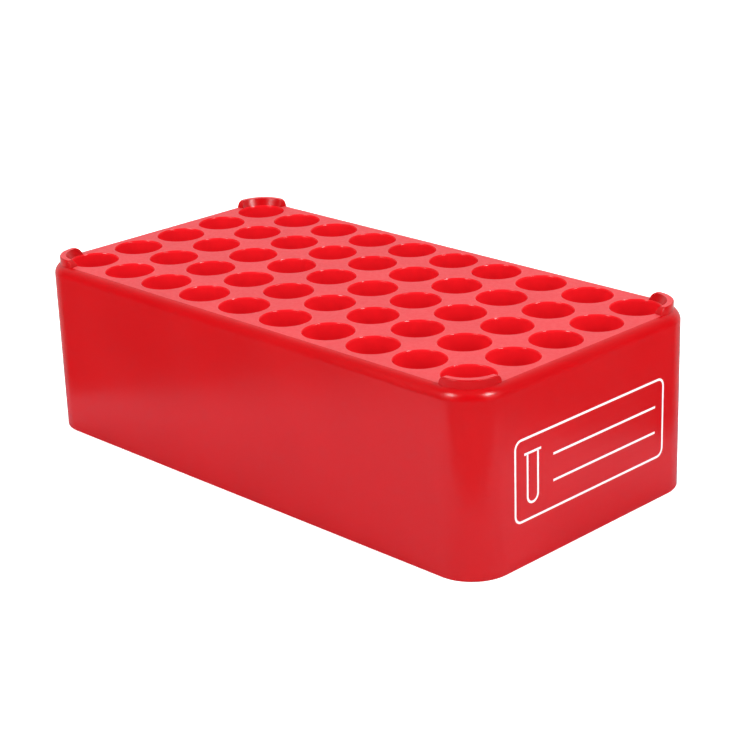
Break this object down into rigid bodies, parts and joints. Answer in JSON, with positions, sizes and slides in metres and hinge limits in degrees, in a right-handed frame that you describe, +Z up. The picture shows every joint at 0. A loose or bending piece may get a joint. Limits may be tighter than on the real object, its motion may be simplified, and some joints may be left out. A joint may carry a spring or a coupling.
{
  "type": "test tube rack",
  "caption": "Moulded plastic block rack for 12 mm test tubes: a box with rounded corners and shoulders, a grid of closed round wells in its deck and raised stacking collars at the corners.",
  "frame": {"origin": "centre of the footprint, on the plane that the rack stands on", "axes": "+X along the long side, +Y across the rack towards row a, +Z up"},
  "size_m": [0.1566, 0.0812, 0.0481],
  "materials": {
    "casing_plastic": "smooth moulded red polypropylene, semi-gloss",
    "deck_plastic": "finely textured satin red polypropylene, smooth inside the wells",
    "marking_ink": "white pad-printed ink"
  },
  "bodies": {
    "root": {"side_wall_front": "casing_plastic", "side_wall_back": "casing_plastic", "end_wall_left": "casing_plastic", "end_wall_right": "casing_plastic", "corner_front_left": "casing_plastic", "corner_front_right": "casing_plastic", "corner_back_left": "casing_plastic", "corner_back_right": "casing_plastic", "stacking_collars": "casing_plastic", "well_a1": "deck_plastic", "well_a2": "deck_plastic", "well_a3": "deck_plastic", "well_a4": "deck_plastic", "well_a5": "deck_plastic", "well_a6": "deck_plastic", "well_a7": "deck_plastic", "well_a8": "deck_plastic", "well_a9": "deck_plastic", "well_a10": "deck_plastic", "well_b1": "deck_plastic", "well_b2": "deck_plastic", "well_b3": "deck_plastic", "well_b4": "deck_plastic", "well_b5": "deck_plastic", "well_b6": "deck_plastic", "well_b7": "deck_plastic", "well_b8": "deck_plastic", "well_b9": "deck_plastic", "well_b10": "deck_plastic", "well_c1": "deck_plastic", "well_c2": "deck_plastic", "well_c3": "deck_plastic", "well_c4": "deck_plastic", "well_c5": "deck_plastic", "well_c6": "deck_plastic", "well_c7": "deck_plastic", "well_c8": "deck_plastic", "well_c9": "deck_plastic", "well_c10": "deck_plastic", "well_d1": "deck_plastic", "well_d2": "deck_plastic", "well_d3": "deck_plastic", "well_d4": "deck_plastic", "well_d5": "deck_plastic", "well_d6": "deck_plastic", "well_d7": "deck_plastic", "well_d8": "deck_plastic", "well_d9": "deck_plastic", "well_d10": "deck_plastic", "well_e1": "deck_plastic", "well_e2": "deck_plastic", "well_e3": "deck_plastic", "well_e4": "deck_plastic", "well_e5": "deck_plastic", "well_e6": "deck_plastic", "well_e7": "deck_plastic", "well_e8": "deck_plastic", "well_e9": "deck_plastic", "well_e10": "deck_plastic"}
  },
  "joints": []
}
